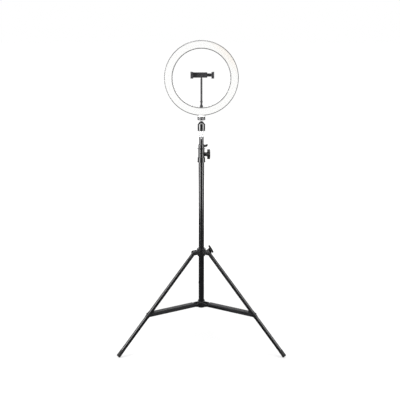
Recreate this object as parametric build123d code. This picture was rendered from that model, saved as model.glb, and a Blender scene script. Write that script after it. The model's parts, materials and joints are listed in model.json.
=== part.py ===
from build123d import *
from math import atan2, cos, hypot, radians, sin
import os

# Ring lamp on a folding light stand.
# Millimetres. The origin is on the floor under the column's axis, +Z is up,
# and the lamp faces -Y. The legs stand at -30, 90 and 210 degrees about +Z.

# ---------------------------------------------------------------- clearances
slide_gap = 0.3        # between a sliding piece and what it slides on
running_gap = 0.05     # radial, a pin or bush in its bore
face_gap = 0.3         # between the faces of pieces that turn on each other

# ---------------------------------------------------------------- legs and braces
leg_azimuths = {"right": -30.0, "back": 90.0, "left": 210.0}
leg_tube_d = 14.0
leg_wall = 1.0
leg_pivot_z = 344.0
brace_joint_z = 139.0
brace_length = 196.0       # between its two pivots
brace_wall = 1.2
brace_above = 8.5          # of the pivot line, up to the back of the channel
brace_below = 5.5
brace_end_gap = 21.0       # from the leg's joint to where the channel's back ends
brace_start_gap = 10.0     # from the hub's pivot to where the channel's back starts
sleeve_wall = 0.7
sleeve_length = 24.0
foot_wall = 0.6
foot_length = 26.0
foot_tip = 4.0
ear_thickness = 2.2
ear_gap = 0.4              # beside the leg in its fork
pin_r = 2.4
rivet_head_r = 4.0
rivet_head_h = 1.6

# ---------------------------------------------------------------- column
lower_tube_d = 20.0
tube_wall = 0.7
lower_tube_top_z = 704.0
top_tube_foot_z = 215.0
middle_tube_foot_z = 180.0
bush_length = 18.0
bush_flange = 3.0
plug_flange = 2.0
plug_length = 14.0
spigot_visible = 21.3
spigot_inset = 2.0         # how much thinner than the top tube the spigot is
spigot_depth = 26.0
spigot_screw_r = 1.6
spigot_screw_head_r = 2.6
spigot_screw_drop = 4.5
spigot_screw_head_h = 0.95
spigot_edge = 0.6

# ---------------------------------------------------------------- leg collar and hub
leg_collar_wall = 4.0
leg_collar_skirt_wall = 6.2
leg_collar_skirt_h = 7.0
leg_collar_taper_h = 2.0
leg_collar_above = 12.7    # of the legs' pivots
leg_collar_below = 14.9
leg_pivot_reach = 17.0     # out from the collar's core
collar_knob_r = 16.5
collar_knob_thickness = 7.0
collar_knob_azimuth = 12.0
collar_knob_lift = 28.0    # the knob's axis above the horizontal
collar_knob_reach = 26.5   # out from the tube's surface
collar_knob_drop = 5.0     # below the collar's top
collar_boss_r = 6.0
hub_wall = 4.0
hub_flare_wall = 5.0
hub_above = 9.0            # of the braces' pivots
hub_below = 12.0
hub_pivot_reach = 11.0     # out from the hub's core
hub_ear_r = 6.0
hub_flare_h = 2.0
hub_taper_h = 7.0
hub_edge = 1.0

# ---------------------------------------------------------------- upper and lower locks
lower_lock_wall = 1.2
lower_lock_rim_wall = 4.6
lower_lock_rim_t = 1.6
lower_lock_h = 33.0
lower_lock_socket = 4.0    # how far the lower tube enters it
lower_lock_groove_up = 10.0  # of the lower tube's top
lower_lock_groove_d = 0.7
skirt_h = 18.0
skirt_wall = 3.4
skirt_flare_wall = 4.4
skirt_flare_h = 1.5
skirt_taper_h = 5.0
skirt_edge = 1.0
knob_r = 18.0
knob_thickness = 11.0
knob_hub_r = 8.0
knob_hub_length = 2.5
knob_lobes = 8
knob_axis_up = 6.5         # of the lower tube's top
knob_boss_r = 7.4
knob_boss_length = 6.8
clamp_screw_r = 3.0
pad_thickness = 1.5
upper_lock_wall = 1.7
upper_lock_h = 13.3
upper_lock_socket = 4.7    # how far the middle tube enters it
upper_lock_boss_r = 4.2
upper_lock_boss_length = 2.3
upper_screw_r = 2.0
upper_screw_drop = 5.8     # below the upper lock's top
lever_length = 10.0
lever_rise = 5.2
lever_width = 7.0
lever_hub_length = 4.5
lever_root_h = 3.4         # above and below the screw's axis, at the hub
lever_tip_below = 3.0      # the tip's underside
lever_tip_above = 1.5      # the tip's upper side
lever_edge_r = 1.4
top_tube_above = 27.1      # the upper lock, when it is pushed down

# ---------------------------------------------------------------- ball head and neck
ball_r = 8.0
ball_gap = 0.12
ball_wall = 3.0            # of the seat, round the ball
housing_wall = 2.2
housing_shoulder_drop = 1.5  # below the ball's middle
housing_mouth_angle = 55.0   # of the mouth's rim, from the stud's axis
seat_floor = 5.5
base_flange = 2.0
base_plug = 11.7
base_thread_r = 3.15
base_thread_depth = 9.0
stud_visible = 3.2
neck_stud_r = 3.2
lock_collar_r = 13.8
lock_collar_h = 11.4
lock_collar_edge = 0.8
insert_r = 4.6
insert_length = 9.0
neck_top_w = 42.0
neck_top_d = 21.0
neck_r = 14.2
neck_h = 4.6

# ---------------------------------------------------------------- ring lamp
ring_outer_d = 260.0
ring_inner_d = 202.0
ring_depth = 25.0
ring_wall = 2.2
ring_edge_r = 5.0
diffuser_depth = 6.5       # the part of the depth that the front cover makes
diffuser_wall = 2.0
lip_wall = 1.2
lip_depth = 2.0
board_thickness = 1.6
board_margin = 5.0         # between the ring's edges and the board's
led_size = 3.4
led_height = 0.8
leds_in_a_row = 48
led_row_inset = 3.3        # from the board's edge to the middle of a row
screw_count = 6
screw_shank_r = 1.4
screw_head_r = 2.8
screw_head_h = 1.2
post_r = 3.0
post_wall = 1.8
inlet_r = 5.5
inlet_flange_r = 7.0
inlet_flange_t = 1.0
inlet_bore_r = 2.8
inlet_pin_r = 1.0
inlet_length = 11.0
inlet_angle = 15.0         # round the ring from its lowest point

# ---------------------------------------------------------------- phone holder
holder_thread_r = 3.0
holder_stem_r = 3.5
holder_nut_r = 6.0
holder_nut_top_r = 4.2
holder_nut_h = 8.0
holder_band_up = 19.0      # of the ring's inner edge
holder_band_r = 4.6
holder_band_h = 5.0
holder_ball_r = 6.0
clip_centre_x = 3.0
clip_above_centre = 12.0   # of the ring
clip_span = 82.0           # between the outer faces of the jaws
jaw_height = 22.6
jaw_thickness = 5.0
pad_depth = 1.5
phone_thickness = 9.0
jaw_hook = 3.0
jaw_hook_t = 2.0
jaw_corner_r = 2.5
socket_r = 8.6
socket_wall = 1.4
socket_mouth = 1.2         # how much narrower than the ball its mouth is
collar_nut_r = 10.4
collar_nut_h = 6.0
collar_nut_mouth_r = 7.0
collar_nut_floor = 1.6
clip_boss_r = 7.0
clip_boss_h = 3.0
clip_pin_r = 3.0
rail_height = 18.0
rail_wall = 1.6
rail_channel_d = 3.2
rail_end_x = 20.0
rest_height = 0.6          # of the raised rest for the phone's back
tongue_length = 46.0

# ---------------------------------------------------------------- worked-out values
leg_r = leg_tube_d / 2
lower_tube_r = lower_tube_d / 2
middle_tube_r = lower_tube_r - tube_wall - slide_gap
top_tube_r = middle_tube_r - tube_wall - slide_gap
spigot_r = top_tube_r - spigot_inset

leg_collar_r = lower_tube_r + leg_collar_wall
leg_collar_skirt_r = lower_tube_r + leg_collar_skirt_wall
leg_collar_top_z = leg_pivot_z + leg_collar_above
leg_collar_bottom_z = leg_pivot_z - leg_collar_below
leg_pivot_r = leg_collar_r + leg_pivot_reach
leg_fork_root_r = leg_pivot_r - 1.5 * leg_r
collar_ear_inner = leg_r + ear_gap
collar_ear_outer = collar_ear_inner + ear_thickness
collar_knob_distance = lower_tube_r + collar_knob_reach

hub_r = lower_tube_r + hub_wall
hub_flare_r = lower_tube_r + hub_flare_wall
hub_pivot_r = hub_r + hub_pivot_reach
hub_pivot_z = brace_joint_z
hub_top_z = hub_pivot_z + hub_above
lower_tube_bottom_z = hub_pivot_z - hub_below

brace_joint_r = hub_pivot_r + brace_length
leg_spread = atan2(brace_joint_r - leg_pivot_r, leg_pivot_z - brace_joint_z)
leg_upper_length = hypot(brace_joint_r - leg_pivot_r, leg_pivot_z - brace_joint_z)
foot_r = leg_r + foot_wall
foot_end_z = foot_r * sin(leg_spread)
leg_length = (leg_pivot_z - foot_end_z) / cos(leg_spread)
sleeve_r = leg_r + sleeve_wall
brace_inner_half = sleeve_r + face_gap
brace_outer_half = brace_inner_half + brace_wall
hub_ear_inner = brace_outer_half + face_gap
hub_ear_outer = hub_ear_inner + ear_thickness

lower_lock_r = lower_tube_r + lower_lock_wall
lower_lock_rim_r = lower_tube_r + lower_lock_rim_wall
skirt_top_z = lower_tube_top_z - lower_lock_socket
skirt_bottom_z = skirt_top_z - skirt_h
skirt_r = lower_tube_r + skirt_wall
skirt_flare_r = lower_tube_r + skirt_flare_wall
lower_lock_top_z = skirt_top_z + lower_lock_h
lower_lock_groove_z = lower_tube_top_z + lower_lock_groove_up
knob_axis_z = lower_tube_top_z + knob_axis_up
knob_boss_reach = lower_lock_r + knob_boss_length
knob_screw_start = middle_tube_r + slide_gap + pad_thickness

upper_lock_r = middle_tube_r + upper_lock_wall
upper_lock_bottom_z = lower_lock_top_z + face_gap
upper_lock_top_z = upper_lock_bottom_z + upper_lock_h
middle_tube_top_z = upper_lock_bottom_z + upper_lock_socket
upper_screw_z = upper_lock_top_z - upper_screw_drop
upper_lock_boss_reach = upper_lock_r + upper_lock_boss_length
upper_screw_start = top_tube_r + slide_gap + pad_thickness
lever_reach = upper_lock_boss_reach + lever_length
lever_tip_z = upper_screw_z + lever_rise
top_tube_top_z = upper_lock_top_z + top_tube_above
spigot_screw_z = top_tube_top_z - spigot_screw_drop

base_bottom_z = top_tube_top_z + spigot_visible
housing_bottom_z = base_bottom_z + base_flange
seat_bottom_z = housing_bottom_z + base_plug + face_gap
ball_z = seat_bottom_z + seat_floor + ball_r
housing_bore_r = ball_r + ball_wall
housing_r = housing_bore_r + housing_wall
lock_collar_bottom_z = ball_z + ball_r + stud_visible
neck_bottom_z = lock_collar_bottom_z + lock_collar_h + face_gap

ring_outer_r = ring_outer_d / 2
ring_inner_r = ring_inner_d / 2
ring_half_depth = ring_depth / 2
ring_centre_z = neck_bottom_z + neck_h + ring_outer_r
inner_ring_bottom_z = ring_centre_z - ring_inner_r
diffuser_back = ring_half_depth - diffuser_depth
board_outer_r = ring_outer_r - board_margin - ring_wall
board_inner_r = ring_inner_r + board_margin
post_circle_r = (board_outer_r + board_inner_r) / 2
board_back = 0.0
board_front = board_back + board_thickness

holder_band_z = inner_ring_bottom_z + holder_band_up
clip_centre_z = ring_centre_z + clip_above_centre
rail_back_y = -(collar_nut_r + face_gap + clip_boss_h)
rail_front_y = rail_back_y - 2 * rail_wall - rail_channel_d
rest_y = rail_front_y - rest_height
jaw_front_y = rest_y - phone_thickness - jaw_hook_t - slide_gap
left_jaw_x = clip_centre_x - clip_span / 2
right_jaw_x = clip_centre_x + clip_span / 2


# ---------------------------------------------------------------- shared shapes
def turned(*outline):
    """Solid of revolution about +Z from an outline of (radius, height) points."""
    return revolve(Plane.XZ * make_face(Polyline(*outline, close=True)), Axis.Z)


def rod(radius, bottom, top):
    """Upright cylinder on the Z axis."""
    return Pos(0, 0, bottom) * Cylinder(radius, top - bottom, align=(Align.CENTER, Align.CENTER, Align.MIN))


def pipe(outer_r, inner_r, bottom, top):
    """Upright tube on the Z axis."""
    return rod(outer_r, bottom, top) - rod(inner_r, bottom, top)


def block(low, high):
    """Box between two opposite corners."""
    size = [b - a for a, b in zip(low, high)]
    middle = [(a + b) / 2 for a, b in zip(low, high)]
    return Pos(*middle) * Box(*size)


def along(start, direction):
    """Place that takes +Z onto a direction, with its origin at a point."""
    return Plane(origin=start, z_dir=direction).location


def cross_pin(radius, x, z, half_length):
    """Cylinder along Y, centred on Y = 0, through the point (x, z)."""
    return along((x, -half_length, z), (0, 1, 0)) * rod(radius, 0, 2 * half_length)


def spoke(shape, azimuth):
    """Turn a shape that is built in the XZ plane to a leg's azimuth."""
    return Rot(0, 0, azimuth) * shape


def facing_front(shape):
    """Turn a shape built about +Z to face -Y, centred on the ring's middle."""
    return Pos(0, 0, ring_centre_z) * Rot(90, 0, 0) * shape


def round_rim(shape, radius, height):
    """Round the circular edges that lie at one height."""
    rim = [e for e in shape.edges().filter_by(GeomType.CIRCLE) if abs(e.center().Z - height) < 1e-4]
    return fillet(rim, radius)


def lobed_knob(radius, thickness, core_r, hub_length, lobes):
    """Star knob about +Z: its hub starts at the origin and its face is domed."""
    top = hub_length + thickness
    edge = min(2.0, thickness / 4)
    head = rod(radius, hub_length, top)
    notch_r = radius * 0.26
    for index in range(lobes):
        notch = Pos(radius + notch_r * 0.55, 0, 0) * rod(notch_r, 0, top + 1)
        head -= Rot(0, 0, 360 / lobes * (index + 0.5)) * notch
    head = chamfer(head.faces().sort_by(Axis.Z)[-1].edges(), edge)
    return head + rod(core_r, 0, hub_length)


def save(name, *solids):
    """Write one node, as one solid or a group of separate solids."""
    shape = solids[0] if len(solids) == 1 else Compound(children=list(solids))
    export_step(shape, os.path.join("parts", name + ".step"))


# ---------------------------------------------------------------- ring lamp
def screw_places():
    """Turned places of the ring's screws, clear of its lowest point."""
    step = 360 / screw_count
    return [Rot(0, 0, step * index) * Pos(post_circle_r, 0, 0) for index in range(screw_count)]


def inlet_place():
    """Where the power inlet's axis stands on the ring's back."""
    return Rot(0, 0, -90 + inlet_angle) * Pos(post_circle_r, 0, -ring_half_depth)


def ring_back_shell():
    """Moulded tray with the neck below it, the screw bosses and the holder's boss inside."""
    back = -ring_half_depth
    floor = back + ring_wall
    cavity = pipe(ring_outer_r - ring_wall, ring_inner_r + ring_wall, floor, diffuser_back)
    tray = pipe(ring_outer_r, ring_inner_r, back, diffuser_back)
    tray = round_rim(tray, ring_edge_r, back)
    tray = facing_front(tray)
    neck_top_z = ring_centre_z - ring_outer_r + 6
    neck_outline = [
        Plane.XY.offset(neck_top_z) * RectangleRounded(neck_top_w, neck_top_d, ring_edge_r),
        Plane.XY.offset(neck_bottom_z) * Circle(neck_r),
    ]
    tray += loft(neck_outline)
    tray -= facing_front(cavity)
    insert_top = neck_bottom_z + insert_length
    tray += rod(insert_r + post_wall, neck_bottom_z, insert_top + 1)
    tray -= rod(insert_r, neck_bottom_z, insert_top)
    holder_bottom = inner_ring_bottom_z - 2 * ring_wall
    tray += rod(holder_nut_r, holder_bottom, inner_ring_bottom_z - 0.5)
    tray -= rod(holder_thread_r, holder_bottom, inner_ring_bottom_z)
    tray -= rod(holder_nut_r, inner_ring_bottom_z, inner_ring_bottom_z + ring_wall)
    for place in screw_places():
        tray += facing_front(place * pipe(post_r + post_wall, post_r, floor, board_back))
        tray -= facing_front(place * rod(screw_shank_r, back, floor))
        tray -= facing_front(place * rod(screw_head_r, back, back + screw_head_h))
    tray -= facing_front(inlet_place() * rod(inlet_r, 0, ring_wall))
    return tray


def ring_diffuser():
    """Opal cover over the front, with a lip inside the tray and posts for the screws."""
    cover = pipe(ring_outer_r, ring_inner_r, diffuser_back, ring_half_depth)
    cover = round_rim(cover, ring_edge_r, ring_half_depth)
    cover -= pipe(
        ring_outer_r - ring_wall, ring_inner_r + ring_wall, diffuser_back, ring_half_depth - diffuser_wall
    )
    lip_r = ring_outer_r - ring_wall
    cover += pipe(lip_r, lip_r - lip_wall, diffuser_back - lip_depth, ring_half_depth - diffuser_wall)
    post_foot = -ring_half_depth + ring_wall
    for place in screw_places():
        cover += place * rod(post_r, post_foot, ring_half_depth - diffuser_wall)
        cover -= place * rod(screw_shank_r, post_foot, board_front)
    insert_boss_r = insert_r + post_wall + slide_gap
    return facing_front(cover) - rod(insert_boss_r, neck_bottom_z, neck_bottom_z + 2 * insert_length)


def led_board():
    """Ring-shaped circuit board, pierced by the cover's posts."""
    board = pipe(board_outer_r, board_inner_r, board_back, board_front)
    for place in screw_places():
        board -= place * rod(post_r + running_gap, board_back, board_front)
    return facing_front(board)


def leds():
    """Two rows of square LEDs on the front of the board."""
    chips = []
    for row_r in (board_inner_r + led_row_inset, board_outer_r - led_row_inset):
        for index in range(leds_in_a_row):
            chip = Pos(row_r, 0, board_front + led_height / 2) * Box(led_size, led_size, led_height)
            chips.append(facing_front(Rot(0, 0, 360 / leds_in_a_row * index) * chip))
    return chips


def ring_screws():
    """Screws from the back of the tray into the cover's posts."""
    back = -ring_half_depth
    screw = rod(screw_head_r, back, back + screw_head_h) + rod(screw_shank_r, back, board_back - 2)
    screw -= Pos(0, 0, back) * Box(3.4, 0.7, 1.0)
    screw -= Pos(0, 0, back) * Box(0.7, 3.4, 1.0)
    return [facing_front(place * screw) for place in screw_places()]


def power_inlet():
    """Round low-voltage socket in the tray's back, with its centre pin."""
    socket = rod(inlet_flange_r, -inlet_flange_t, 0) + rod(inlet_r, 0, inlet_length)
    bore_end = inlet_length - 1.5
    socket -= rod(inlet_bore_r, -inlet_flange_t, bore_end)
    socket += rod(inlet_pin_r, 1.0, bore_end)
    return facing_front(inlet_place() * socket)


def neck_insert():
    """Brass thread moulded into the neck."""
    return pipe(insert_r, neck_stud_r, neck_bottom_z, neck_bottom_z + insert_length)


# ---------------------------------------------------------------- ball head
def neck_stud():
    """Steel stud from inside the ball up into the neck's insert."""
    return rod(neck_stud_r, ball_z + 1, neck_bottom_z + insert_length - 1)


def neck_lock_collar():
    """Knurled jam nut under the neck."""
    collar = rod(lock_collar_r, lock_collar_bottom_z, neck_bottom_z - face_gap)
    collar = chamfer(collar.edges().filter_by(GeomType.CIRCLE), lock_collar_edge)
    return collar - rod(neck_stud_r + running_gap, lock_collar_bottom_z, neck_bottom_z)


def ball():
    """Ball with the stud's hole."""
    return Pos(0, 0, ball_z) * Sphere(ball_r) - rod(neck_stud_r, ball_z + 1, ball_z + ball_r + 1)


def ball_housing():
    """Sleeve that screws down over the ball; its inner dome presses on it."""
    inner_r = ball_r + ball_gap
    shoulder_z = ball_z - housing_shoulder_drop
    mouth_r = inner_r * sin(radians(housing_mouth_angle))
    mouth_z = ball_z + inner_r * cos(radians(housing_mouth_angle))
    sleeve = turned(
        (0, housing_bottom_z),
        (housing_r, housing_bottom_z),
        (housing_r, shoulder_z),
        (mouth_r + 0.4, mouth_z),
        (0, mouth_z),
    )
    sleeve = round_rim(sleeve, 2.0, shoulder_z)
    sleeve -= Pos(0, 0, ball_z) * Sphere(inner_r)
    sleeve -= rod(mouth_r, ball_z, mouth_z + 1)
    return sleeve - rod(housing_bore_r, housing_bottom_z, ball_z - ball_r / 2 + face_gap)


def ball_seat():
    """Nylon cup that the ball rests in, free to turn in the sleeve."""
    cup = rod(housing_bore_r - running_gap, seat_bottom_z, ball_z - ball_r / 2)
    return cup - Pos(0, 0, ball_z) * Sphere(ball_r + running_gap)


def ball_base():
    """Threaded plug in the sleeve's foot, with the spigot's thread in it."""
    base = rod(housing_r, base_bottom_z, housing_bottom_z - running_gap)
    base = chamfer(base.edges().group_by(Axis.Z)[0], 0.5)
    base += rod(housing_bore_r - running_gap, base_bottom_z, seat_bottom_z - face_gap)
    return base - rod(base_thread_r, base_bottom_z, base_bottom_z + base_thread_depth)


# ---------------------------------------------------------------- column
def telescoping_tube(tube_r, bottom, top):
    """Thin-walled steel tube."""
    return pipe(tube_r, tube_r - tube_wall, bottom, top)


def sliding_bush(tube_r, bore_r, bottom):
    """Plastic end plug whose flange runs in the next tube's bore."""
    bush = rod(bore_r - running_gap, bottom - bush_flange, bottom)
    bush += rod(tube_r - tube_wall, bottom, bottom + bush_length)
    return bush - rod(tube_r - 3 * tube_wall, bottom - bush_flange, bottom + bush_length)


def spigot():
    """Plated spigot in the top tube, threaded at its upper end for the head."""
    body = rod(spigot_r, top_tube_top_z, base_bottom_z)
    body = chamfer(body.edges().filter_by(GeomType.CIRCLE).group_by(Axis.Z)[-1], spigot_edge)
    body += rod(top_tube_r - tube_wall, top_tube_top_z - spigot_depth, top_tube_top_z)
    body += rod(base_thread_r, base_bottom_z, base_bottom_z + base_thread_depth - 1)
    return body - spigot_screw_hole()


def spigot_screw_hole():
    """Hole from the tube's front to its middle."""
    return along((0, -top_tube_r - 1, spigot_screw_z), (0, 1, 0)) * rod(spigot_screw_r, 0, top_tube_r)


def spigot_screw():
    """Bright screw through the front of the top tube into the spigot."""
    place = along((0, -top_tube_r, spigot_screw_z), (0, 1, 0))
    head = place * rod(spigot_screw_head_r, -spigot_screw_head_h, spigot_screw_head_r / 2)
    head -= rod(top_tube_r, 0, top_tube_top_z + 1)
    return head + place * rod(spigot_screw_r, -spigot_screw_head_h / 2, top_tube_r - 1)


def lower_tube_plug():
    """Plastic cap in the foot of the lower tube."""
    plug = rod(lower_tube_r, lower_tube_bottom_z - plug_flange, lower_tube_bottom_z)
    plug = chamfer(plug.edges().group_by(Axis.Z)[0], 0.8)
    return plug + rod(lower_tube_r - tube_wall, lower_tube_bottom_z, lower_tube_bottom_z + plug_length)


# ---------------------------------------------------------------- upper lock
def upper_lock_body():
    """Collar on the middle tube's top that guides and clamps the top tube."""
    bottom = upper_lock_bottom_z
    body = rod(upper_lock_r, bottom, upper_lock_top_z)
    body = chamfer(body.edges().group_by(Axis.Z)[-1], 1.0)
    boss_place = along((0, 0, upper_screw_z), (1, 0, 0))
    body += boss_place * rod(upper_lock_boss_r, 0, upper_lock_boss_reach)
    body -= rod(middle_tube_r, bottom, middle_tube_top_z)
    body -= rod(top_tube_r + slide_gap, bottom, upper_lock_top_z)
    return body - boss_place * rod(upper_screw_r + running_gap, 0, upper_lock_boss_reach)


def upper_lock_pad():
    """Pad between the screw and the top tube."""
    place = along((0, 0, upper_screw_z), (1, 0, 0))
    pad = place * rod(upper_screw_r, 0, upper_screw_start)
    return pad - rod(top_tube_r + slide_gap, upper_lock_bottom_z, upper_lock_top_z)


def upper_lock_lever():
    """Curved lever with its screw, to the right of the upper lock."""
    axis_z = upper_screw_z
    hub_start = upper_lock_boss_reach + face_gap
    place = along((0, 0, axis_z), (1, 0, 0))
    hub_end = hub_start + lever_hub_length
    lever = place * rod(upper_lock_boss_r, hub_start, hub_end)
    paddle_outline = [
        (hub_start + lever_edge_r / 2, axis_z - lever_root_h),
        (hub_end + lever_edge_r / 2, axis_z - lever_tip_below),
        (lever_reach, lever_tip_z - lever_tip_below),
        (lever_reach - lever_edge_r, lever_tip_z + lever_tip_above),
        (hub_end + lever_edge_r, lever_tip_z + lever_tip_above / 2),
        (hub_start + lever_edge_r / 2, axis_z + lever_root_h),
    ]
    paddle = extrude(Plane.XZ * make_face(Polyline(*paddle_outline, close=True)), lever_width / 2, both=True)
    lever += fillet(paddle.edges().filter_by(Axis.Y), lever_edge_r)
    return lever + place * rod(upper_screw_r, upper_screw_start, hub_start + 1)


# ---------------------------------------------------------------- lower lock
def lower_lock_body():
    """Collar on the lower tube's top that guides and clamps the middle tube."""
    body = turned(
        (0, skirt_top_z),
        (lower_lock_r, skirt_top_z),
        (lower_lock_r, lower_lock_groove_z - lower_lock_groove_d),
        (lower_lock_r - lower_lock_groove_d, lower_lock_groove_z),
        (lower_lock_r, lower_lock_groove_z + lower_lock_groove_d),
        (lower_lock_r, lower_lock_top_z - 2 * lower_lock_rim_t),
        (lower_lock_rim_r, lower_lock_top_z - lower_lock_rim_t),
        (lower_lock_rim_r, lower_lock_top_z),
        (0, lower_lock_top_z),
    )
    boss_place = along((0, 0, knob_axis_z), (1, 0, 0))
    body += boss_place * rod(knob_boss_r, 0, knob_boss_reach)
    body -= rod(lower_tube_r, skirt_top_z - knob_boss_r, lower_tube_top_z)
    body -= rod(middle_tube_r + slide_gap, skirt_top_z, lower_lock_top_z)
    return body - boss_place * rod(clamp_screw_r + running_gap, 0, knob_boss_reach)


def lower_lock_skirt():
    """Flared sleeve below the lower lock, pressed on the lower tube."""
    skirt = turned(
        (lower_tube_r, skirt_bottom_z),
        (skirt_flare_r, skirt_bottom_z),
        (skirt_flare_r, skirt_bottom_z + skirt_flare_h),
        (skirt_r, skirt_bottom_z + skirt_taper_h),
        (skirt_r, skirt_top_z - skirt_edge),
        (skirt_r - skirt_edge, skirt_top_z),
        (lower_tube_r, skirt_top_z),
    )
    return skirt


def lower_lock_pad():
    """Pad between the knob's screw and the middle tube."""
    place = along((0, 0, knob_axis_z), (1, 0, 0))
    pad = place * rod(clamp_screw_r, 0, knob_screw_start)
    return pad - rod(middle_tube_r + slide_gap, skirt_top_z, lower_lock_top_z)


def lower_lock_knob():
    """Star knob to the right of the lower lock."""
    start = knob_boss_reach + face_gap
    knob = lobed_knob(knob_r, knob_thickness, knob_hub_r, knob_hub_length, knob_lobes)
    knob -= rod(clamp_screw_r, 0, knob_hub_length + knob_thickness / 2)
    return along((start, 0, knob_axis_z), (1, 0, 0)) * knob


def lower_lock_screw():
    """Steel screw moulded into the star knob."""
    end = knob_boss_reach + face_gap + knob_hub_length + knob_thickness / 2
    return along((0, 0, knob_axis_z), (1, 0, 0)) * rod(clamp_screw_r, knob_screw_start, end)


# ---------------------------------------------------------------- leg collar
def fork(pivot_x, pivot_z, round_r, inner_half, outer_half, root_r):
    """Two ears beside a pivot in the XZ plane, joined to the core by a solid root."""
    ears = block((0, -outer_half, pivot_z - round_r), (pivot_x, outer_half, pivot_z + round_r))
    ears += cross_pin(round_r, pivot_x, pivot_z, outer_half)
    slot_low = (root_r, -inner_half, pivot_z - 2 * round_r)
    slot_high = (pivot_x + 2 * round_r, inner_half, pivot_z + 2 * round_r)
    return ears - block(slot_low, slot_high)


def collar_knob_place(distance):
    """Place on the leg collar's knob axis, at a distance out from its middle."""
    lift = radians(collar_knob_lift)
    outward = (cos(lift), 0, sin(lift))
    foot_x = collar_knob_distance
    foot_z = leg_collar_top_z - collar_knob_drop
    shift = distance - collar_knob_distance
    start = (foot_x + shift * outward[0], 0, foot_z + shift * outward[2])
    return Rot(0, 0, collar_knob_azimuth) * along(start, outward)


def collar_boss_end():
    """Distance at which the knob's boss ends."""
    return collar_knob_distance - collar_knob_thickness


def leg_collar():
    """Sliding collar with a flared skirt, three forks for the legs and the knob's boss."""
    skirt_z = leg_collar_top_z - leg_collar_skirt_h
    body = turned(
        (0, leg_collar_bottom_z),
        (leg_collar_r, leg_collar_bottom_z),
        (leg_collar_r, skirt_z - leg_collar_taper_h),
        (leg_collar_skirt_r, skirt_z),
        (leg_collar_skirt_r, leg_collar_top_z),
        (0, leg_collar_top_z),
    )
    for azimuth in leg_azimuths.values():
        ears = fork(leg_pivot_r, leg_pivot_z, leg_r, collar_ear_inner, collar_ear_outer, leg_fork_root_r)
        ears -= cross_pin(pin_r, leg_pivot_r, leg_pivot_z, collar_ear_outer)
        body += spoke(ears, azimuth)
    body += collar_knob_place(0) * rod(collar_boss_r, 0, collar_boss_end())
    body -= rod(lower_tube_r + slide_gap, leg_collar_bottom_z - leg_r, leg_collar_top_z + collar_boss_r)
    return body - collar_knob_place(0) * rod(clamp_screw_r + running_gap, 0, collar_boss_end())


def leg_collar_rivets():
    """Rivets headed over on the outside of each fork's ears."""
    rivets = []
    for azimuth in leg_azimuths.values():
        for side in (-1, 1):
            place = along((leg_pivot_r, side * collar_ear_inner, leg_pivot_z), (0, side, 0))
            shank = place * rod(pin_r, 0, ear_thickness)
            head = place * rod(rivet_head_r, ear_thickness, ear_thickness + rivet_head_h)
            head = fillet(head.edges().filter_by(GeomType.CIRCLE).sort_by(Axis.Y)[0 if side < 0 else -1], 1.2)
            rivets.append(spoke(shank + head, azimuth))
    return rivets


def leg_collar_pad():
    """Pad between the knob's screw and the lower tube."""
    pad = collar_knob_place(0) * rod(clamp_screw_r, 0, collar_pad_end())
    return pad - rod(lower_tube_r + slide_gap, leg_collar_bottom_z, leg_collar_top_z)


def collar_pad_end():
    """Distance along the slanted axis at which the pad ends."""
    lift = radians(collar_knob_lift)
    foot = collar_knob_distance - collar_knob_distance / cos(lift)
    return foot + (lower_tube_r + 2 * pad_thickness) / cos(lift)


def leg_collar_knob():
    """Star knob on the leg collar's slanted boss."""
    hub_length = collar_knob_thickness / 2
    knob = lobed_knob(collar_knob_r, collar_knob_thickness, knob_hub_r, hub_length, knob_lobes)
    knob -= rod(clamp_screw_r, 0, hub_length + collar_knob_thickness / 2)
    return collar_knob_place(collar_boss_end() + face_gap) * knob


def leg_collar_screw():
    """Steel screw moulded into the leg collar's knob."""
    end = collar_boss_end() + face_gap + collar_knob_thickness
    return collar_knob_place(0) * rod(clamp_screw_r, collar_pad_end(), end)


# ---------------------------------------------------------------- bottom hub
def brace_hub():
    """Hub pressed on the lower tube's foot, with three forks for the braces."""
    body = turned(
        (0, lower_tube_bottom_z),
        (hub_flare_r, lower_tube_bottom_z),
        (hub_flare_r, lower_tube_bottom_z + hub_flare_h),
        (hub_r, lower_tube_bottom_z + hub_taper_h),
        (hub_r, hub_top_z - hub_edge),
        (hub_r - hub_edge, hub_top_z),
        (0, hub_top_z),
    )
    for azimuth in leg_azimuths.values():
        ears = fork(hub_pivot_r, hub_pivot_z, hub_ear_r, hub_ear_inner, hub_ear_outer, hub_r)
        ears -= cross_pin(pin_r, hub_pivot_r, hub_pivot_z, hub_ear_outer)
        body += spoke(ears, azimuth)
    return body - rod(lower_tube_r, lower_tube_bottom_z, hub_top_z)


def headed_pin(x, z, grip_half):
    """Rivet along Y through a pivot, with a low head at each end."""
    pin = cross_pin(pin_r, x, z, grip_half)
    for side in (-1, 1):
        pin += along((x, side * grip_half, z), (0, side, 0)) * rod(rivet_head_r, 0, rivet_head_h)
    return pin


def hub_pins():
    """Rivets through the hub's forks and the braces' inner ends."""
    return [spoke(headed_pin(hub_pivot_r, hub_pivot_z, hub_ear_outer), a) for a in leg_azimuths.values()]


# ---------------------------------------------------------------- legs and braces
def on_leg(distance, shape):
    """Put a shape built along +Z on a leg's axis, at a distance down from its pivot."""
    down = (sin(leg_spread), 0, -cos(leg_spread))
    start = (leg_pivot_r + distance * down[0], 0, leg_pivot_z + distance * down[2])
    return along(start, down) * shape


def leg_tube():
    """Steel tube, rounded at its pivot and drilled for the pivot and the brace's pin."""
    top = -leg_r
    tube = rod(leg_r, top, leg_length - foot_tip)
    tube -= rod(leg_r - leg_wall, top + 3 * leg_wall, leg_length - foot_tip)
    tube = round_rim(tube, 3.5, top)
    tube = on_leg(0, tube)
    tube -= cross_pin(pin_r, leg_pivot_r, leg_pivot_z, leg_r + 1)
    return tube - cross_pin(pin_r, brace_joint_r, brace_joint_z, leg_r + 1)


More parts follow.
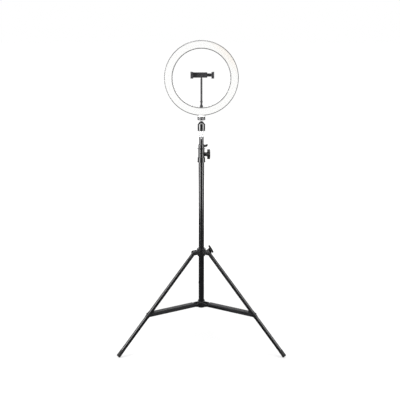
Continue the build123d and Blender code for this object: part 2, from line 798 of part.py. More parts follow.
def leg_foot():
    """Rubber cap over the leg's lower end, cut square."""
    cap = rod(foot_r, leg_length - foot_length, leg_length)
    cap = round_rim(cap, 0.5, leg_length - foot_length)
    cap -= rod(leg_r, leg_length - foot_length, leg_length - foot_tip)
    return on_leg(0, cap)


def leg_sleeve():
    """Plastic sleeve that wraps the leg between the brace's cheeks."""
    sleeve = pipe(sleeve_r, leg_r, leg_upper_length - sleeve_length / 2, leg_upper_length + sleeve_length / 2)
    return on_leg(0, sleeve) - cross_pin(pin_r, brace_joint_r, brace_joint_z, sleeve_r + 1)


def leg_pin():
    """Rivet through the leg, its sleeve and the brace's outer end."""
    return headed_pin(brace_joint_r, brace_joint_z, brace_outer_half + face_gap)


def brace():
    """Folded steel channel, open below, whose cheeks straddle the leg."""
    low_z = hub_pivot_z - brace_below
    high_z = hub_pivot_z + brace_above
    start = hub_pivot_r + brace_start_gap
    end = brace_joint_r - brace_end_gap
    cheeks = block((hub_pivot_r, -brace_outer_half, low_z), (brace_joint_r, brace_outer_half, high_z))
    for x in (hub_pivot_r, brace_joint_r):
        corner_low = (x - brace_start_gap, -brace_outer_half - 1, hub_pivot_z + brace_below)
        corner_high = (x + brace_start_gap, brace_outer_half + 1, high_z + 1)
        cheeks -= block(corner_low, corner_high)
        cheeks += cross_pin(brace_below, x, hub_pivot_z, brace_outer_half)
    body = fillet(cheeks.edges().filter_by(Axis.X).group_by(Axis.Z)[-1], brace_wall)
    inside_low = (hub_pivot_r - 2 * brace_below, -brace_inner_half, low_z - 1)
    inside_high = (brace_joint_r + 2 * brace_below, brace_inner_half, high_z - brace_wall)
    body -= block(inside_low, inside_high)
    for low_x, high_x in ((0, start), (end, brace_joint_r + brace_above)):
        body -= block((low_x, -brace_inner_half, low_z), (high_x, brace_inner_half, high_z + 1))
    for x in (hub_pivot_r, brace_joint_r):
        body -= cross_pin(pin_r + running_gap, x, hub_pivot_z, brace_outer_half + 1)
    return body


# ---------------------------------------------------------------- phone holder
def holder_lock_nut():
    """Conical nut that locks the stem to the ring's inner edge."""
    bottom = inner_ring_bottom_z
    outline = (
        (holder_stem_r, bottom),
        (holder_nut_r, bottom),
        (holder_nut_r, bottom + 2),
        (holder_nut_top_r, bottom + holder_nut_h),
        (holder_stem_r, bottom + holder_nut_h),
    )
    return turned(*outline)


def holder_stem():
    """Steel stem with a band, a thinner neck and the clip's ball on top."""
    neck_z = clip_centre_z - 2.2 * holder_ball_r
    stem = rod(holder_thread_r, inner_ring_bottom_z - 2 * ring_wall, inner_ring_bottom_z)
    stem += rod(holder_stem_r, inner_ring_bottom_z, neck_z)
    stem += rod(holder_band_r, holder_band_z - holder_band_h / 2, holder_band_z + holder_band_h / 2)
    stem += rod(holder_stem_r - 1, neck_z, clip_centre_z)
    return stem + Pos(0, 0, clip_centre_z) * Sphere(holder_ball_r)


def clip_socket():
    """Cup over the stem's ball, open below, with the pin that the clip turns on."""
    bottom = clip_centre_z - 4.0
    top = clip_centre_z + holder_ball_r + socket_wall
    cup = rod(socket_r, bottom, top)
    cup = round_rim(cup, 2.0, top)
    boss_place = along((0, 0, clip_centre_z), (0, -1, 0))
    cup += boss_place * rod(collar_nut_h / 2, 0, collar_nut_r)
    cup += boss_place * rod(clip_pin_r, 0, -rail_back_y + rail_wall - 0.1)
    cup -= Pos(0, 0, clip_centre_z) * Sphere(holder_ball_r + running_gap)
    return cup - rod(holder_ball_r - socket_mouth, bottom, clip_centre_z - 2)


def clip_collar_nut():
    """Ring nut that squeezes the cup on the ball."""
    top = clip_centre_z - collar_nut_h / 2 - face_gap
    nut = pipe(collar_nut_r, collar_nut_mouth_r, top - collar_nut_h, top)
    return nut - rod(socket_r + running_gap, top - collar_nut_h + collar_nut_floor, top)


def clip_body():
    """Moulding with the fixed jaw, the rail's channel and the turning boss at its back."""
    low_z = clip_centre_z - rail_height / 2
    high_z = clip_centre_z + rail_height / 2
    body = block((left_jaw_x, rail_front_y, low_z), (rail_end_x, rail_back_y, high_z))
    rest_start_x = left_jaw_x + jaw_thickness + pad_depth + slide_gap
    body += block((rest_start_x, rest_y, low_z), (rail_end_x, rail_front_y, high_z))
    body += jaw(left_jaw_x, 1)
    boss_place = along((0, rail_back_y, clip_centre_z), (0, 1, 0))
    body += boss_place * rod(clip_boss_r, 0, clip_boss_h)
    body -= tongue_space(left_jaw_x + jaw_thickness, rail_end_x, 0)
    return body - boss_place * rod(clip_pin_r + running_gap, -rail_wall, clip_boss_h)


def tongue_space(low_x, high_x, gap):
    """The rail's channel, or with a gap the tongue that slides in it."""
    half = rail_height / 2 - 2 * rail_wall - gap
    low = (low_x, rail_front_y + rail_wall + gap, clip_centre_z - half)
    high = (high_x, rail_back_y - rail_wall - gap, clip_centre_z + half)
    return block(low, high)


def jaw(outer_x, inward):
    """Upright jaw with a hook over the phone's front; inward is +1 or -1 along X."""
    half = jaw_height / 2
    inner_x = outer_x + inward * jaw_thickness
    hook_x = inner_x + inward * (pad_depth + jaw_hook)
    side = sorted((outer_x, inner_x))
    hook = sorted((outer_x, hook_x))
    low_z, high_z = clip_centre_z - half, clip_centre_z + half
    shape = block((side[0], jaw_front_y, low_z), (side[1], rail_back_y, high_z))
    shape += block((hook[0], jaw_front_y, low_z), (hook[1], jaw_front_y + jaw_hook_t, high_z))
    outer_edges = shape.edges().filter_by(Axis.Z).sort_by(Axis.X)
    corner = outer_edges[:2] if inward > 0 else outer_edges[-2:]
    return fillet(corner, jaw_corner_r)


def sliding_jaw():
    """Moving jaw with its tongue in the rail."""
    shape = jaw(right_jaw_x, -1)
    inner_x = right_jaw_x - jaw_thickness
    return shape + tongue_space(inner_x - tongue_length, inner_x, slide_gap)


def jaw_pad(inner_x, inward):
    """Rubber pad on a jaw's inner face."""
    half = jaw_height / 2 - 1.5
    side = sorted((inner_x, inner_x + inward * pad_depth))
    back_y = rest_y - face_gap
    return block(
        (side[0], jaw_front_y + jaw_hook_t, clip_centre_z - half), (side[1], back_y, clip_centre_z + half)
    )


# ---------------------------------------------------------------- writing the nodes
os.makedirs("parts", exist_ok=True)

save("ring_back_shell", ring_back_shell())
save("ring_diffuser", ring_diffuser())
save("led_board", led_board())
save("leds", *leds())
save("ring_screws", *ring_screws())
save("power_inlet", power_inlet())
save("neck_insert", neck_insert())

save("neck_stud", neck_stud())
save("neck_lock_collar", neck_lock_collar())
save("ball", ball())
save("ball_housing", ball_housing())
save("ball_seat", ball_seat())
save("ball_base", ball_base())

top_bush_bore = middle_tube_r - tube_wall
middle_bush_bore = lower_tube_r - tube_wall
save("spigot", spigot())
save("spigot_screw", spigot_screw())
top_tube = telescoping_tube(top_tube_r, top_tube_foot_z, top_tube_top_z)
save("top_tube", top_tube - spigot_screw_hole())
save("top_tube_bush", sliding_bush(top_tube_r, top_bush_bore, top_tube_foot_z))
save("middle_tube", telescoping_tube(middle_tube_r, middle_tube_foot_z, middle_tube_top_z))
save("middle_tube_bush", sliding_bush(middle_tube_r, middle_bush_bore, middle_tube_foot_z))
save("lower_tube", telescoping_tube(lower_tube_r, lower_tube_bottom_z, lower_tube_top_z))
save("lower_tube_plug", lower_tube_plug())

save("upper_lock_body", upper_lock_body())
save("upper_lock_pad", upper_lock_pad())
save("upper_lock_lever", upper_lock_lever())
save("lower_lock_body", lower_lock_body())
save("lower_lock_skirt", lower_lock_skirt())
save("lower_lock_pad", lower_lock_pad())
save("lower_lock_knob", lower_lock_knob())
save("lower_lock_screw", lower_lock_screw())

save("leg_collar", leg_collar())
save("leg_collar_rivets", *leg_collar_rivets())
save("leg_collar_pad", leg_collar_pad())
save("leg_collar_knob", leg_collar_knob())
save("leg_collar_screw", leg_collar_screw())
save("brace_hub", brace_hub())
save("hub_pins", *hub_pins())

for side, azimuth in leg_azimuths.items():
    save("leg_tube_" + side, spoke(leg_tube(), azimuth))
    save("leg_foot_" + side, spoke(leg_foot(), azimuth))
    save("leg_sleeve_" + side, spoke(leg_sleeve(), azimuth))
    save("leg_pin_" + side, spoke(leg_pin(), azimuth))
    save("brace_" + side, spoke(brace(), azimuth))

save("holder_lock_nut", holder_lock_nut())
save("holder_stem", holder_stem())
save("clip_socket", clip_socket())
save("clip_collar_nut", clip_collar_nut())
save("clip_body", clip_body())
save("sliding_jaw", sliding_jaw())
save("fixed_jaw_pad", jaw_pad(left_jaw_x + jaw_thickness, 1))
save("sliding_jaw_pad", jaw_pad(right_jaw_x - jaw_thickness, -1))
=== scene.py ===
import json
from math import atan2, cos, pi, radians, sin

import bmesh
import bpy
from mathutils import Matrix, Vector


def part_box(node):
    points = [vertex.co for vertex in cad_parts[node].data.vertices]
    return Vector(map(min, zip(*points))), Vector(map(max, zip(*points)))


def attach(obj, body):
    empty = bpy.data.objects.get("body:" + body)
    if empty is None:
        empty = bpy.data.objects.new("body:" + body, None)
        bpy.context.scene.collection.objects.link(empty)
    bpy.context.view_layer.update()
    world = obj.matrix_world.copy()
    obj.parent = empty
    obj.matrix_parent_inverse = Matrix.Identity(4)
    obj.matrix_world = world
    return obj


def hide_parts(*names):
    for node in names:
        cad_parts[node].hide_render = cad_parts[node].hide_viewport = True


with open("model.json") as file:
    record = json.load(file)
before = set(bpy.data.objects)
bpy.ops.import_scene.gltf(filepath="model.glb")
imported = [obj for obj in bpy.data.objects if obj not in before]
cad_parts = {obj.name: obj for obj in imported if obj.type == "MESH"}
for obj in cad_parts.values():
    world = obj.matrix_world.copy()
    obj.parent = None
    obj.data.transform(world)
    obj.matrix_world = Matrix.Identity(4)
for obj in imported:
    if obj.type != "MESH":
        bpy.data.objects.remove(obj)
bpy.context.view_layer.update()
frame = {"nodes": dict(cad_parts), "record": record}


# ---------------------------------------------------------------- lower tube
# The widest of the column's three thin steel tubes, cut square with its edges broken,
# powder coated gloss black and baked. A plastic cap closes its foot.
mm = 0.001
tube_wall = 0.7 * mm
tube_edge = 0.2 * mm


def finish(name, colour, roughness, metallic=0.0, coat=0.0, specular=0.5):
    """A finish with its even values set on the shader."""
    material = bpy.data.materials.new(name)
    material.use_nodes = True
    shader = material.node_tree.nodes["Principled BSDF"]
    shader.inputs["Base Color"].default_value = (*colour, 1)
    shader.inputs["Roughness"].default_value = roughness
    shader.inputs["Metallic"].default_value = metallic
    shader.inputs["Coat Weight"].default_value = coat
    shader.inputs["Coat Roughness"].default_value = 0.1
    shader.inputs["Specular IOR Level"].default_value = specular
    return material


def add(material, kind, **settings):
    """A node of the finish, with its own settings."""
    node = material.node_tree.nodes.new("ShaderNode" + kind)
    for key, value in settings.items():
        setattr(node, key, value)
    return node


def join(material, source, target):
    """Link two sockets of the finish."""
    material.node_tree.links.new(source, target)


def own_place(material, stretch=(1, 1, 1), centre=(0, 0, 0)):
    """The piece's own coordinates in metres, from a centre and stretched."""
    place = add(material, "TexCoord")
    mapping = add(material, "Mapping", vector_type="TEXTURE")
    mapping.inputs["Location"].default_value = centre
    mapping.inputs["Scale"].default_value = [1 / s for s in stretch]
    join(material, place.outputs["Object"], mapping.inputs["Vector"])
    return mapping.outputs["Vector"]


def cloudy(material, scale, detail=2.0, stretch=(1, 1, 1)):
    """Noise from 0 to 1 whose grain is about one metre over the scale."""
    noise = add(material, "TexNoise")
    noise.inputs["Scale"].default_value = scale
    noise.inputs["Detail"].default_value = detail
    join(material, own_place(material, stretch), noise.inputs["Vector"])
    return noise.outputs["Fac"]


def between(material, value, low, high, from_low=0.3, from_high=0.7):
    """Takes a stretch of a value's range to new limits."""
    spread = add(material, "MapRange", clamp=True)
    spread.inputs["From Min"].default_value = from_low
    spread.inputs["From Max"].default_value = from_high
    spread.inputs["To Min"].default_value = low
    spread.inputs["To Max"].default_value = high
    join(material, value, spread.inputs["Value"])
    return spread.outputs["Result"]


def vary_colour(material, value, first, second):
    """Base colour that goes from one to the other with a value."""
    shader = material.node_tree.nodes["Principled BSDF"]
    mix = add(material, "Mix", data_type="RGBA")
    colours = [socket for socket in mix.inputs if socket.type == "RGBA"]
    colours[0].default_value = (*first, 1)
    colours[1].default_value = (*second, 1)
    join(material, value, mix.inputs[0])
    blended = [socket for socket in mix.outputs if socket.type == "RGBA"][0]
    join(material, blended, shader.inputs["Base Color"])


def vary_roughness(material, value):
    """Roughness that follows a value."""
    join(material, value, material.node_tree.nodes["Principled BSDF"].inputs["Roughness"])


def relief(material, value, depth):
    """Raises the surface with a value, on top of any relief it has."""
    shader = material.node_tree.nodes["Principled BSDF"]
    bump = add(material, "Bump")
    bump.inputs["Distance"].default_value = depth
    join(material, value, bump.inputs["Height"])
    for link in list(shader.inputs["Normal"].links):
        join(material, link.from_socket, bump.inputs["Normal"])
    join(material, bump.outputs["Normal"], shader.inputs["Normal"])


def powder_coat(name, rubbed):
    """Gloss black powder coat; on a rubbed tube it shows fine lengthwise marks."""
    paint = finish(name, (0.008, 0.008, 0.009), 0.24, coat=0.6, specular=0.5)
    smudges = cloudy(paint, 55, 4)
    vary_colour(paint, smudges, (0.005, 0.005, 0.006), (0.013, 0.013, 0.014))
    if rubbed:
        marks = cloudy(paint, 1800, 2, (1, 1, 0.008))
        vary_roughness(paint, between(paint, marks, 0.18, 0.42, 0.45, 0.75))
    else:
        vary_roughness(paint, between(paint, smudges, 0.17, 0.32))
    relief(paint, cloudy(paint, 420, 1), 0.000003)
    return paint


def lathe(*outline, segments=64, closed=True):
    """Solid turned about +Z from an outline of (radius, height) points."""
    turned = bmesh.new()
    points = [turned.verts.new((radius, 0, height)) for radius, height in outline]
    following = points[1:] + points[:1] if closed else points[1:]
    edges = [turned.edges.new(pair) for pair in zip(points, following)]
    bmesh.ops.spin(
        turned, geom=points + edges, cent=(0, 0, 0), axis=(0, 0, 1), angle=2 * pi, steps=segments,
        use_merge=True,
    )
    bmesh.ops.remove_doubles(turned, verts=turned.verts, dist=1e-7)
    bmesh.ops.recalc_face_normals(turned, faces=turned.faces)
    return turned


def set_along(mesh, start, direction):
    """Take a mesh built on +Z to an axis of its own."""
    turn = Vector(direction).to_track_quat("Z", "Y").to_matrix().to_4x4()
    bmesh.ops.transform(mesh, matrix=Matrix.Translation(start) @ turn, verts=mesh.verts)
    return mesh


def size_up(node):
    """Outer radius, foot height and top height of an upright round node."""
    low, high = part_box(node)
    return (high.x - low.x) / 2, low.z, high.z


def fit(name, mesh, material, body, slot, *stands_for, crease=32):
    """Turn a mesh into a finished piece on its body, in place of CAD nodes."""
    for edge in mesh.edges:
        edge.smooth = len(edge.link_faces) == 2 and edge.calc_face_angle(0) < radians(crease)
    for face in mesh.faces:
        face.smooth = True
    data = bpy.data.meshes.new(name)
    mesh.to_mesh(data)
    mesh.free()
    data.materials.append(material)
    piece = bpy.data.objects.new(name, data)
    bpy.context.scene.collection.objects.link(piece)
    even = piece.modifiers.new("even_shading", "WEIGHTED_NORMAL")
    even.keep_sharp = True
    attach(piece, body)
    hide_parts(*stands_for)
    return piece


def column_tube(node):
    """Open tube with its cut edges broken, inside and out."""
    outer, foot, top = size_up(node)
    inner = outer - tube_wall
    return lathe(
        (outer - tube_edge, foot),
        (outer, foot + tube_edge),
        (outer, top - tube_edge),
        (outer - tube_edge, top),
        (inner + tube_edge, top),
        (inner, top - tube_edge),
        (inner, foot + tube_edge),
        (inner + tube_edge, foot),
    )


column_paint = powder_coat("column_paint", False)
fit("lower_column_tube", column_tube("lower_tube"), column_paint, "stand_column", "tube_paint", "lower_tube")


nodes = frame["nodes"]


def wear(material, *cad_nodes):
    """Give CAD nodes a finish of the builder's own."""
    for name in cad_nodes:
        slots = nodes[name].data.materials
        slots.clear()
        slots.append(material)


def moulding(name, dark, light, roughness, grain):
    """Moulded plastic with a fine spark grain and faint cloudiness."""
    plastic = finish(name, dark, roughness, specular=0.45)
    vary_colour(plastic, cloudy(plastic, 90, 3), dark, light)
    vary_roughness(plastic, between(plastic, cloudy(plastic, 260, 3), roughness * 0.8, roughness * 1.25))
    relief(plastic, cloudy(plastic, 2600, 2), grain)
    return plastic


black_moulding = moulding("black_moulding", (0.009, 0.009, 0.01), (0.016, 0.016, 0.017), 0.3, 0.00003)
wear(black_moulding, "lower_tube_plug")


# ---------------------------------------------------------------- hub at the column's foot
# Glass-filled nylon hub pressed on the tube's foot, with three forks that hold the braces.
# Blackened steel rivets go through the forks and are headed over.
hub_edge = 0.5 * mm
rivet_edge = 0.6 * mm


def cad_copy(node):
    """Merged copy of a CAD node, with each flat face whole."""
    copy = bmesh.new()
    copy.from_mesh(nodes[node].data)
    bmesh.ops.remove_doubles(copy, verts=copy.verts, dist=1e-6)
    bmesh.ops.dissolve_limit(copy, angle_limit=radians(0.6), verts=copy.verts, edges=copy.edges)
    return copy


def soften(mesh, width, segments=2, crease=32):
    """Round the corners that are sharper than the crease."""
    corners = [
        edge for edge in mesh.edges
        if len(edge.link_faces) == 2 and edge.calc_face_angle(0) > radians(crease)
    ]
    bmesh.ops.bevel(
        mesh, geom=corners, offset=width, offset_type="OFFSET", affect="EDGES", segments=segments,
        profile=0.5, material=-1, clamp_overlap=True,
    )
    return mesh


fit(
    "hub", soften(cad_copy("brace_hub"), hub_edge), black_moulding, "stand_column", "black_plastic",
    "brace_hub",
)

rivet_black = finish("rivet_black", (0.03, 0.03, 0.032), 0.35, metallic=0.85)
vary_roughness(rivet_black, between(rivet_black, cloudy(rivet_black, 900, 3), 0.22, 0.5))
relief(rivet_black, cloudy(rivet_black, 1500, 1), 0.00002)
hub_rivets = soften(cad_copy("hub_pins"), rivet_edge, 3)
fit("hub_rivets", hub_rivets, rivet_black, "stand_column", "rivet_steel", "hub_pins")


# ---------------------------------------------------------------- braces
# Each brace is a strip of sheet steel pressed to a channel that is open below, with a long
# swage along both cheeks to stiffen it. Painted dark grey.
swage_inset = 2.6 * mm
swage_depth = 0.35 * mm
brace_edge = 0.35 * mm
brace_paint = finish("brace_paint", (0.035, 0.035, 0.037), 0.5, specular=0.15)
vary_colour(brace_paint, cloudy(brace_paint, 45, 4), (0.028, 0.028, 0.03), (0.042, 0.042, 0.045))
vary_roughness(brace_paint, between(brace_paint, cloudy(brace_paint, 180, 3), 0.42, 0.6))
relief(brace_paint, cloudy(brace_paint, 900, 2), 0.00003)


def swage(mesh, across):
    """Press a long panel into the outer face of each cheek."""
    reach = max(vert.co.dot(across) for vert in mesh.verts)
    for side in (-1, 1):
        cheek = [
            face for face in mesh.faces
            if face.normal.dot(across) * side > 0.99
            and face.calc_center_median().dot(across) * side > reach - brace_edge
        ]
        bmesh.ops.inset_region(
            mesh, faces=cheek, thickness=swage_inset, depth=-swage_depth, use_even_offset=True,
            use_boundary=True,
        )


sides = ("right", "back", "left")
for side in sides:
    foot_low, foot_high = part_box("leg_foot_" + side)
    outward = (foot_low + foot_high) / 2
    outward.z = 0
    outward.normalize()
    channel = cad_copy("brace_" + side)
    swage(channel, outward.cross(Vector((0, 0, 1))))
    soften(channel, brace_edge, 2, 50)
    fit("brace_channel_" + side, channel, brace_paint, "brace_" + side, "brace_paint", "brace_" + side)


# ---------------------------------------------------------------- legs
# Straight steel tubes, closed and rounded at the upper end, coated like the column.
# A plastic sleeve takes the brace's rivet and a ribbed rubber cap is pushed over the foot.
leg_edge = 3.4 * mm
sleeve_edge = 0.3 * mm
cap_edge = 1.2 * mm
cap_rib = 1.6 * mm
cap_groove = 0.35 * mm
cap_rib_count = 4
foot_rubber = moulding("foot_rubber", (0.011, 0.011, 0.011), (0.02, 0.02, 0.02), 0.62, 0.00006)


def middle(node):
    """Middle of a node's box."""
    low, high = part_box(node)
    return (low + high) / 2


def span_along(node, start, direction):
    """Nearest and furthest distance of a node along an axis, and its radius there."""
    points = [vert.co - start for vert in nodes[node].data.vertices]
    distances = [point.dot(direction) for point in points]
    radius = max((point - direction * far).length for point, far in zip(points, distances))
    return min(distances), max(distances), radius


def leg_tube(near, far, radius):
    """Tube with a closed, rounded upper end and an open foot."""
    inner = radius - tube_wall
    steps = 6
    dome = [
        (
            radius - leg_edge + leg_edge * sin(pi / 2 * step / steps),
            near + leg_edge - leg_edge * cos(pi / 2 * step / steps),
        )
        for step in range(steps + 1)
    ]
    return lathe(
        (0, near), *dome, (radius, far), (inner, far), (inner, near + leg_edge), (0, near + leg_edge),
    )


def leg_cap(near, far, radius, bore):
    """Rubber cap with a few grooves round it and a rounded tread."""
    outline = [(bore, near), (radius - cap_groove, near)]
    start = near + cap_rib
    for index in range(cap_rib_count):
        foot = start + 2 * cap_rib * index
        outline += [
            (radius, foot - 0.6 * cap_rib),
            (radius, foot + 0.6 * cap_rib),
            (radius - cap_groove, foot + 0.8 * cap_rib),
            (radius - cap_groove, foot + 1.2 * cap_rib),
        ]
    outline += [
        (radius, start + 2 * cap_rib * cap_rib_count),
        (radius, far - cap_edge),
        (radius - 0.3 * cap_edge, far - 0.3 * cap_edge),
        (radius - cap_edge, far),
        (0, far),
        (0, far - 3 * cap_edge),
        (bore, far - 3 * cap_edge),
    ]
    return lathe(*outline, segments=48)


for side in sides:
    body = "leg_" + side
    pin = middle("leg_sleeve_" + side)
    down = (middle("leg_foot_" + side) - pin).normalized()
    near, far, leg_radius = span_along("leg_tube_" + side, pin, down)
    tube = set_along(leg_tube(near, far, leg_radius), pin, down)
    fit("leg_" + side + "_tube", tube, column_paint, body, "tube_paint", "leg_tube_" + side)

    near, far, radius = span_along("leg_sleeve_" + side, pin, down)
    sleeve = lathe(
        (leg_radius, near),
        (radius - sleeve_edge, near),
        (radius, near + sleeve_edge),
        (radius, far - sleeve_edge),
        (radius - sleeve_edge, far),
        (leg_radius, far),
    )
    set_along(sleeve, pin, down)
    fit("leg_" + side + "_sleeve", sleeve, black_moulding, body, "black_plastic", "leg_sleeve_" + side)

    near, far, radius = span_along("leg_foot_" + side, pin, down)
    cap = set_along(leg_cap(near, far, radius, leg_radius), pin, down)
    fit("leg_" + side + "_cap", cap, foot_rubber, body, "foot_rubber", "leg_foot_" + side)

    rivet = soften(cad_copy("leg_pin_" + side), rivet_edge, 3)
    fit("leg_" + side + "_rivet", rivet, rivet_black, body, "rivet_steel", "leg_pin_" + side)


# ---------------------------------------------------------------- sliding leg collar
# Moulded collar that runs up and down the lower tube and carries the legs in three forks,
# each leg between two headed rivets. A star knob on a slanted boss clamps it.
collar_edge = 0.6 * mm
collar = soften(cad_copy("leg_collar"), collar_edge, 3)
fit("sliding_collar", collar, black_moulding, "leg_collar", "black_plastic", "leg_collar")
fork_rivet_edge = 0.2 * mm
fork_rivets = soften(cad_copy("leg_collar_rivets"), fork_rivet_edge, 2)
fit("fork_rivets", fork_rivets, rivet_black, "leg_collar", "rivet_steel", "leg_collar_rivets")

knob_lobes = 8
knob_notch = 0.17          # of the radius
knob_dome = 0.9 * mm
knob_edge = 1.6 * mm
knob_hub_edge = 0.5 * mm
knob_cap_r = 0.4           # of the radius
knob_cap_step = 0.5 * mm
knob_moulding = moulding("knob_moulding", (0.008, 0.008, 0.008), (0.015, 0.015, 0.015), 0.4, 0.00005)


def star_knob(radius, hub_radius, length, hub_length):
    """Round-lobed hand knob on +Z with a hub below and a cap let into its face."""
    cap = radius * knob_cap_r
    face = length - knob_dome
    bore = 0.35 * hub_radius
    knob = lathe(
        (bore, 0),
        (hub_radius - knob_hub_edge, 0),
        (hub_radius, knob_hub_edge),
        (hub_radius, hub_length),
        (radius - knob_edge, hub_length),
        (radius - 0.3 * knob_edge, hub_length + 0.3 * knob_edge),
        (radius, hub_length + knob_edge),
        (radius, face - knob_edge),
        (radius - 0.3 * knob_edge, face - 0.3 * knob_edge),
        (radius - knob_edge, face),
        (radius - 2.5 * knob_edge, length - 0.4 * knob_dome),
        (cap + 0.6 * mm, length),
        (cap, length - knob_cap_step),
        (cap - 0.6 * mm, length - knob_cap_step),
        (cap - 1.0 * mm, length - 0.2 * mm),
        (0, length),
        (0, hub_length),
        (bore, hub_length),
        segments=128,
    )
    for vert in knob.verts:
        reach = Vector((vert.co.x, vert.co.y)).length
        if reach > hub_radius + 0.1 * mm:
            around = atan2(vert.co.y, vert.co.x)
            notched = (0.5 - 0.5 * cos(knob_lobes * around)) ** 1.6
            share = (reach - hub_radius) / (radius - hub_radius)
            pull = 1 - knob_notch * notched * share
            vert.co.x *= pull
            vert.co.y *= pull
    return knob


joints = {joint["name"]: joint for joint in frame["record"]["behaviour"]["joints"]}


def turning_knob(node, joint_name, hub_radius, hub_length, body, name):
    """Star knob on its joint's axis, in place of the CAD one."""
    joint = joints[joint_name]
    start, axis = Vector(joint["pos_m"]), Vector(joint["axis"])
    near, far, radius = span_along(node, start, axis)
    knob = star_knob(radius, hub_radius, far - near, hub_length)
    set_along(knob, start + axis * near, axis)
    fit(name, knob, knob_moulding, body, "knob_plastic", node)


turning_knob(
    "leg_collar_knob", "leg_collar_knob_turn", 7.8 * mm, 3.5 * mm, "leg_collar_knob", "collar_star_knob"
)

screw_zinc = finish("screw_zinc", (0.5, 0.5, 0.5), 0.3, metallic=1.0)
vary_colour(screw_zinc, cloudy(screw_zinc, 500, 3), (0.42, 0.42, 0.42), (0.6, 0.6, 0.58))
vary_roughness(screw_zinc, between(screw_zinc, cloudy(screw_zinc, 1400, 2), 0.22, 0.45))
relief(screw_zinc, cloudy(screw_zinc, 1800, 1), 0.00002)
wear(screw_zinc, "leg_collar_screw", "lower_lock_screw")

nylon = moulding("nylon", (0.68, 0.67, 0.63), (0.76, 0.75, 0.71), 0.45, 0.00003)
wear(
    nylon, "leg_collar_pad", "lower_lock_pad", "upper_lock_pad", "middle_tube_bush", "top_tube_bush",
    "ball_seat",
)


# ---------------------------------------------------------------- lower lock
# Moulded collar and flared skirt pressed on the lower tube's top. A star knob's screw
# goes through the side boss and presses a nylon pad on the middle tube.
lock_edge = 0.4 * mm
gloss_moulding = moulding("gloss_moulding", (0.008, 0.008, 0.009), (0.013, 0.013, 0.014), 0.2, 0.00001)
gloss_moulding.node_tree.nodes["Principled BSDF"].inputs["Coat Weight"].default_value = 0.7
lower_lock = soften(cad_copy("lower_lock_body"), lock_edge, 2, 25)
fit("lower_lock", lower_lock, gloss_moulding, "stand_column", "black_plastic", "lower_lock_body")
skirt = soften(cad_copy("lower_lock_skirt"), lock_edge, 2, 20)
fit("lower_lock_flare", skirt, gloss_moulding, "stand_column", "black_plastic", "lower_lock_skirt")
turning_knob("lower_lock_knob", "lower_lock_knob_turn", 8 * mm, 2.5 * mm, "lower_lock_knob", "lock_star_knob")


# ---------------------------------------------------------------- middle tube and upper lock
# The middle tube slides in the lower one, and its coat is rubbed lengthwise by the lock.
# The small lock on its top is worked by a curved lever, moulded on its screw.
lever_edge = 0.5 * mm
rubbed_paint = powder_coat("rubbed_paint", True)
fit(
    "middle_column_tube", column_tube("middle_tube"), rubbed_paint, "middle_tube", "tube_paint",
    "middle_tube",
)
upper_lock = soften(cad_copy("upper_lock_body"), lock_edge, 2)
fit("upper_lock", upper_lock, gloss_moulding, "middle_tube", "black_plastic", "upper_lock_body")
lever = soften(cad_copy("upper_lock_lever"), lever_edge, 3)
fit("upper_lock_lever_arm", lever, knob_moulding, "upper_lock_lever", "knob_plastic", "upper_lock_lever")


# ---------------------------------------------------------------- top tube and spigot
# The thinnest tube, with a bright plated spigot held in its top by one screw. The spigot
# has a waist for a clamp and chamfered ends.
fit("top_column_tube", column_tube("top_tube"), rubbed_paint, "top_tube", "tube_paint", "top_tube")

spigot_edge = 0.6 * mm
spigot_waist = 0.9 * mm
spigot_insert = 24 * mm
spigot_inset = 2 * mm
# The plate is only partly metal, so much of its near-white colour is diffuse: a painted reflection that
# stands in for the bright sheen of chrome.
plate_with_painted_sheen = finish("plate_with_painted_sheen", (0.95, 0.95, 0.96), 0.3, metallic=0.45, coat=0.5)
vary_roughness(plate_with_painted_sheen, between(plate_with_painted_sheen, cloudy(plate_with_painted_sheen, 1600, 2, (1, 1, 3)), 0.2, 0.36))
relief(plate_with_painted_sheen, cloudy(plate_with_painted_sheen, 1200, 1, (1, 1, 4)), 0.00001)

tube_radius, tube_foot, tube_top = size_up("top_tube")
spigot_radius = tube_radius - spigot_inset
base_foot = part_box("ball_base")[0].z
thread_radius = 3.1 * mm
thread_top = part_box("spigot")[1].z
waist_low = tube_top + (base_foot - tube_top) * 0.3
waist_high = tube_top + (base_foot - tube_top) * 0.7
spigot = lathe(
    (0, tube_top - spigot_insert),
    (tube_radius - tube_wall, tube_top - spigot_insert),
    (tube_radius - tube_wall, tube_top),
    (spigot_radius, tube_top),
    (spigot_radius, waist_low),
    (spigot_radius - spigot_waist, waist_low + spigot_waist),
    (spigot_radius - spigot_waist, waist_high - spigot_waist),
    (spigot_radius, waist_high),
    (spigot_radius, base_foot - spigot_edge),
    (spigot_radius - spigot_edge, base_foot),
    (thread_radius, base_foot),
    (thread_radius, thread_top),
    (0, thread_top),
)
fit("plated_spigot", spigot, plate_with_painted_sheen, "top_tube", "chrome", "spigot")
cap_screw_edge = 0.25 * mm
cap_screw = soften(cad_copy("spigot_screw"), cap_screw_edge, 2)
fit("spigot_cap_screw", cap_screw, plate_with_painted_sheen, "top_tube", "screw_steel", "spigot_screw")


# ---------------------------------------------------------------- ball head
# Turned aluminium, anodised gloss black: a base, a sleeve that screws down over the ball
# and a knurled jam nut under the lamp's neck. Ball and stud are plated steel.
anodised = finish("anodised", (0.006, 0.006, 0.007), 0.16, coat=1.0, specular=1.0)
vary_colour(anodised, cloudy(anodised, 120, 3), (0.004, 0.004, 0.005), (0.01, 0.01, 0.011))
vary_roughness(anodised, between(anodised, cloudy(anodised, 1500, 2, (1, 1, 6)), 0.12, 0.26))
relief(anodised, cloudy(anodised, 900, 1, (1, 1, 8)), 0.00001)

knurl_depth = 0.3 * mm
knurl_count = 60
knurl_margin = 1.6 * mm
nut_edge = 0.8 * mm


